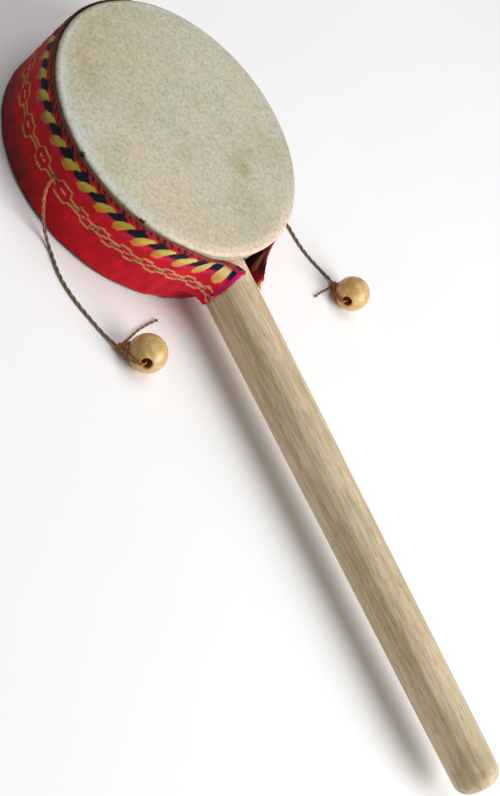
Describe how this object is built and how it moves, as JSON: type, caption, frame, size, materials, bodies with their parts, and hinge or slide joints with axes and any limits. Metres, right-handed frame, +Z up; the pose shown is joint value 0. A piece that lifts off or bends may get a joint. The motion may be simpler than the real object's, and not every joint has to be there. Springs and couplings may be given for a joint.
{
  "type": "pellet drum",
  "caption": "Small twist-handle rattle drum: shallow wooden shell, hide heads, woven ribbon round its side, round stick handle and wooden beads on twine cords.",
  "frame": {"origin": "on the floor under the middle of the drum and handle together, the drum lying face up", "axes": "+Z up, square to the heads; the handle runs towards -Y and the drum is at +Y; +X is to the right with the handle pointing at the viewer"},
  "size_m": [0.1433, 0.2922, 0.0309],
  "materials": {
    "shell_wood": "bare turned wood, unpolished",
    "front_hide": "thin rawhide dried tight, mottled cream with tan stains, satin",
    "back_hide": "thin rawhide dried tight, mottled cream with tan stains, satin",
    "ribbon": "ribbed woven ribbon, crimson with a patterned border along one selvedge",
    "handle_wood": "pale close-grained wood, sanded and handled, faint wax sheen",
    "twine": "two-ply twisted twine, brown, waxed",
    "bead_wood": "turned and varnished, honey coloured, glossy"
  },
  "bodies": {
    "root": {"drum_shell": "shell_wood", "front_head": "front_hide", "back_head": "back_hide", "woven_ribbon": "ribbon", "handle": "handle_wood", "left_cord": "twine", "right_cord": "twine", "left_tie": "twine", "right_tie": "twine", "left_bead": "bead_wood", "right_bead": "bead_wood"}
  },
  "joints": []
}
